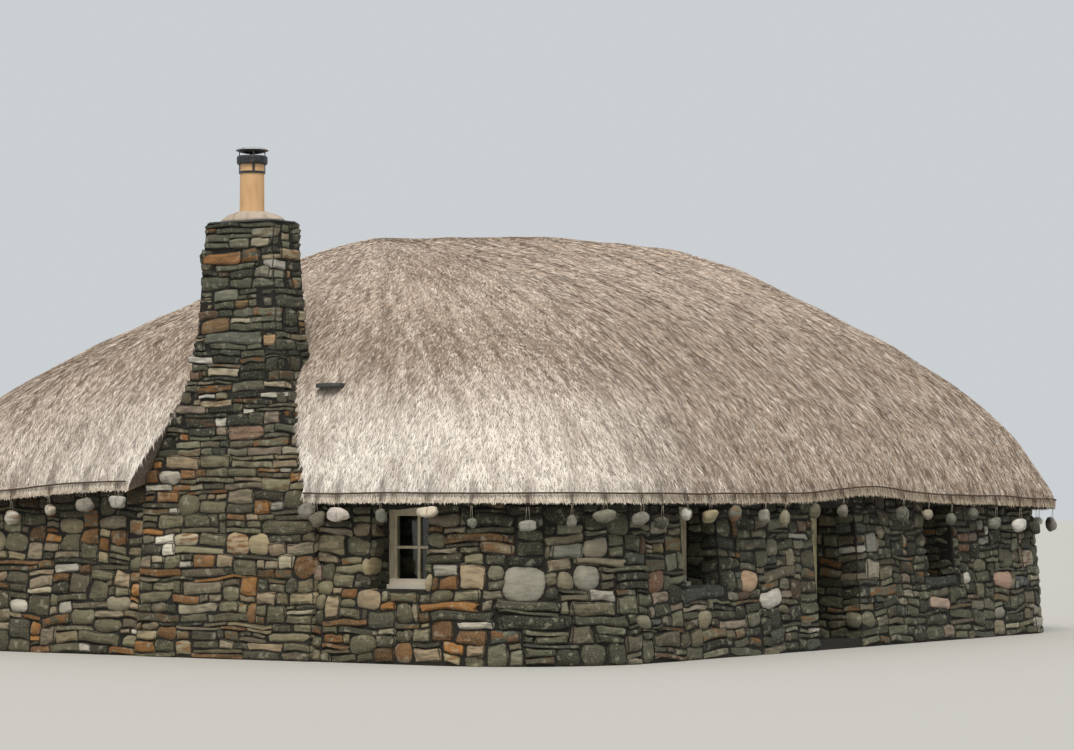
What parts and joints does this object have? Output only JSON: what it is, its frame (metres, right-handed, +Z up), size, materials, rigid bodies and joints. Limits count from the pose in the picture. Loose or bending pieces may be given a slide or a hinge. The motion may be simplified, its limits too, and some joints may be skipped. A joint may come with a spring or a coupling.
{
  "type": "thatched cottage",
  "caption": "Dry-stone cottage with rounded corners, a thick hipped thatch weighted by hanging stones, deep-set windows and doorway, and a tapering end-wall chimney.",
  "frame": {"origin": "centre of the plan at ground level", "axes": "+X along the front wall from the chimney end to the plain end, -Y out of the door, +Z up"},
  "size_m": [15.5506, 12.1506, 6.6529],
  "materials": {
    "rubble_stone": "rough dry-laid gneiss slabs and beach boulders, grey-green with rust and quartz",
    "dark_slab_stone": "long dark slabs",
    "thatch": "weathered grey-beige thatch",
    "window_timber": "pale pinkish-beige painted timber",
    "door_timber": "olive-tan stained timber",
    "window_glass": "clear flat glass",
    "mortar": "smooth pale mortar on a thin slab",
    "clay_pot": "buff unglazed clay",
    "black_metal": "black painted steel, slightly worn",
    "slate": "dark split slate",
    "weight_stone": "sea-worn pebbles in greys, cream and pink on tarred rope"
  },
  "bodies": {
    "root": {"back_left_corner_wall": "rubble_stone", "back_right_corner_wall": "rubble_stone", "back_wall_left": "rubble_stone", "back_wall_right": "rubble_stone", "back_weighted_rope": "weight_stone", "back_window_frame": "window_timber", "back_window_glass": "window_glass", "back_window_lintel": "dark_slab_stone", "back_window_wall_below": "rubble_stone", "chimney_breast": "rubble_stone", "chimney_flaunching": "mortar", "chimney_pot": "clay_pot", "chimney_rain_cap": "black_metal", "chimney_stack": "rubble_stone", "door_frame": "door_timber", "door_leaf": "door_timber", "door_lintel": "dark_slab_stone", "door_threshold": "dark_slab_stone", "drip_slate": "slate", "end_window_frame": "window_timber", "end_window_glass": "window_glass", "end_window_lintel": "dark_slab_stone", "end_window_wall_below": "rubble_stone", "front_left_corner_wall": "rubble_stone", "front_left_window_frame": "window_timber", "front_left_window_glass": "window_glass", "front_left_window_lintel": "dark_slab_stone", "front_left_window_wall_below": "rubble_stone", "front_right_corner_wall": "rubble_stone", "front_right_window_frame": "window_timber", "front_right_window_glass": "window_glass", "front_right_window_lintel": "dark_slab_stone", "front_right_window_wall_below": "rubble_stone", "front_wall_left": "rubble_stone", "front_wall_left_of_door": "rubble_stone", "front_wall_right": "rubble_stone", "front_wall_right_of_door": "rubble_stone", "front_weighted_rope": "weight_stone", "left_end_wall_by_chimney": "rubble_stone", "left_end_wall_far": "rubble_stone", "left_weighted_rope": "weight_stone", "right_end_wall": "rubble_stone", "right_weighted_rope": "weight_stone", "thatch_roof": "thatch"}
  },
  "joints": []
}
